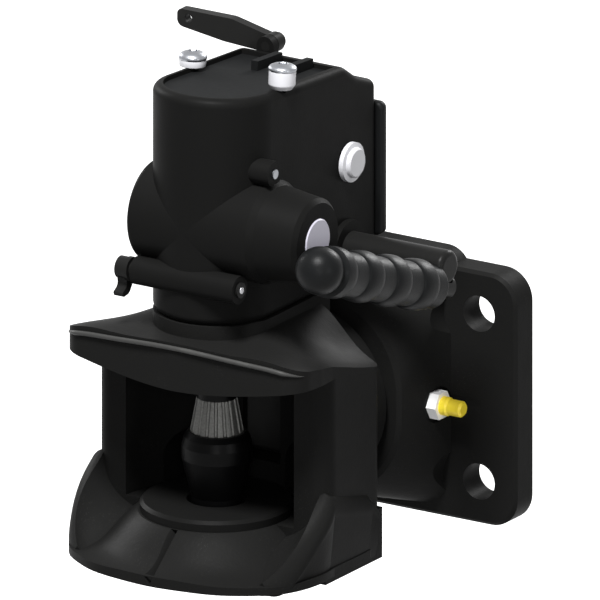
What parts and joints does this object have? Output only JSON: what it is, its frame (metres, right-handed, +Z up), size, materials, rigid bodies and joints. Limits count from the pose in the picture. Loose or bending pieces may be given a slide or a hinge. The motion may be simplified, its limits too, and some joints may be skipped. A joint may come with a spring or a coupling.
{
  "type": "flange tow coupling",
  "caption": "Automatic tow coupling: a swivelling jaw with a lifting pin and side hand lever on a bolted flange.",
  "frame": {"origin": "centre of the bolt pattern on the flange's mounting face", "axes": "+Y into the towing vehicle, +Z up, +X to the hand lever's side; the jaw opens towards -Y"},
  "size_m": [0.1816, 0.183, 0.2391],
  "materials": {
    "casting_black": "semi-gloss black paint on a cast surface",
    "housing_black": "semi-gloss black paint",
    "cover_black": "satin black paint",
    "wear_black": "black phosphated steel",
    "pin_black": "black phosphated steel",
    "shaft_black": "semi-gloss black paint",
    "steel_plain": "plain steel",
    "steel_dark": "darkened zinc plate",
    "zinc_white": "bright zinc plate",
    "plunger_white": "off-white moulding",
    "bush_bronze": "bearing bronze",
    "seal_rubber": "black sealing ring",
    "grip_plastic": "dark grey moulded grip",
    "cap_yellow": "yellow protective cap",
    "plug_orange": "orange plug"
  },
  "bodies": {
    "flange": {"flange_plate": "casting_black", "swivel_bush": "bush_bronze", "grease_fitting": "zinc_white", "grease_cap": "cap_yellow"},
    "jaw": {"jaw_body": "casting_black", "thrust_washer": "steel_plain", "disc_spring": "steel_plain", "castle_nut": "zinc_white", "cotter_pin": "zinc_white", "neck_seal": "seal_rubber", "wear_plate": "wear_black", "lower_bush": "steel_plain", "upper_bush": "steel_plain", "mechanism_housing": "housing_black", "spring_seat": "steel_plain", "closing_spring": "steel_plain", "top_cover": "cover_black", "cover_screw_left": "steel_dark", "cover_screw_right": "zinc_white", "rear_cover": "cover_black", "rear_cover_screws": "steel_dark", "plunger_housing": "housing_black", "boss_pin": "steel_dark", "remote_pivot_pin": "shaft_black", "trigger_pin": "steel_plain", "indicator_plug": "plug_orange"},
    "pin": {"coupling_pin": "pin_black"},
    "hand_lever": {"hand_lever_shaft": "shaft_black", "lifting_crank": "steel_plain", "crank_cross_pin": "steel_plain", "hand_lever_rod": "shaft_black", "lever_grip": "grip_plastic"},
    "plunger": {"lock_plunger": "plunger_white"},
    "catch": {"catch_shaft": "steel_plain", "catch_cap": "plunger_white"},
    "rod": {"hold_rod": "shaft_black"},
    "remote": {"remote_lever": "shaft_black"},
    "trigger": {"trigger_paddle": "shaft_black"}
  },
  "joints": [
    {"name": "swivel_turn", "type": "hinge", "parent": "flange", "child": "jaw", "pos_m": [0, -0.05, 0], "axis": [0, 1, 0], "continuous": true},
    {"name": "pin_lift", "type": "slide", "parent": "jaw", "child": "pin", "axis": [0, 0, 1], "range_m": [0, 0.062], "stiffness_N_per_m": 350, "springref_m": -0.03, "deforming": ["closing_spring"]},
    {"name": "hand_lever_turn", "type": "hinge", "parent": "jaw", "child": "hand_lever", "pos_m": [0, -0.062, 0.078], "axis": [-1, 0, 0], "range_deg": [0, 59]},
    {"name": "lock_plunger_slide", "type": "slide", "parent": "jaw", "child": "plunger", "axis": [1, 0, 0], "range_m": [0, 0.006], "stiffness_N_per_m": 600, "springref_m": -0.006},
    {"name": "catch_turn", "type": "hinge", "parent": "jaw", "child": "catch", "pos_m": [0, -0.059, 0.118], "axis": [1, 0, 0], "range_deg": [0, 15], "stiffness_Nm_per_rad": 0.5, "springref_deg": -11.46},
    {"name": "hold_rod_turn", "type": "hinge", "parent": "jaw", "child": "rod", "pos_m": [0, -0.15, 0.082], "axis": [-1, 0, 0], "range_deg": [0, 40], "stiffness_Nm_per_rad": 0.3, "springref_deg": -11.46},
    {"name": "remote_lever_turn", "type": "hinge", "parent": "jaw", "child": "remote", "pos_m": [-0.014, -0.055, 0.166], "axis": [0, 1, 0], "range_deg": [0, 24], "stiffness_Nm_per_rad": 0.4, "springref_deg": -11.46},
    {"name": "trigger_turn", "type": "hinge", "parent": "jaw", "child": "trigger", "pos_m": [0, -0.082, 0.022], "axis": [1, 0, 0], "range_deg": [0, 9], "stiffness_Nm_per_rad": 0.6, "springref_deg": -8.59}
  ],
  "couplings": [
    {"joint": "hand_lever_turn", "follows": "pin_lift", "rad_per_m": 16.609}
  ]
}
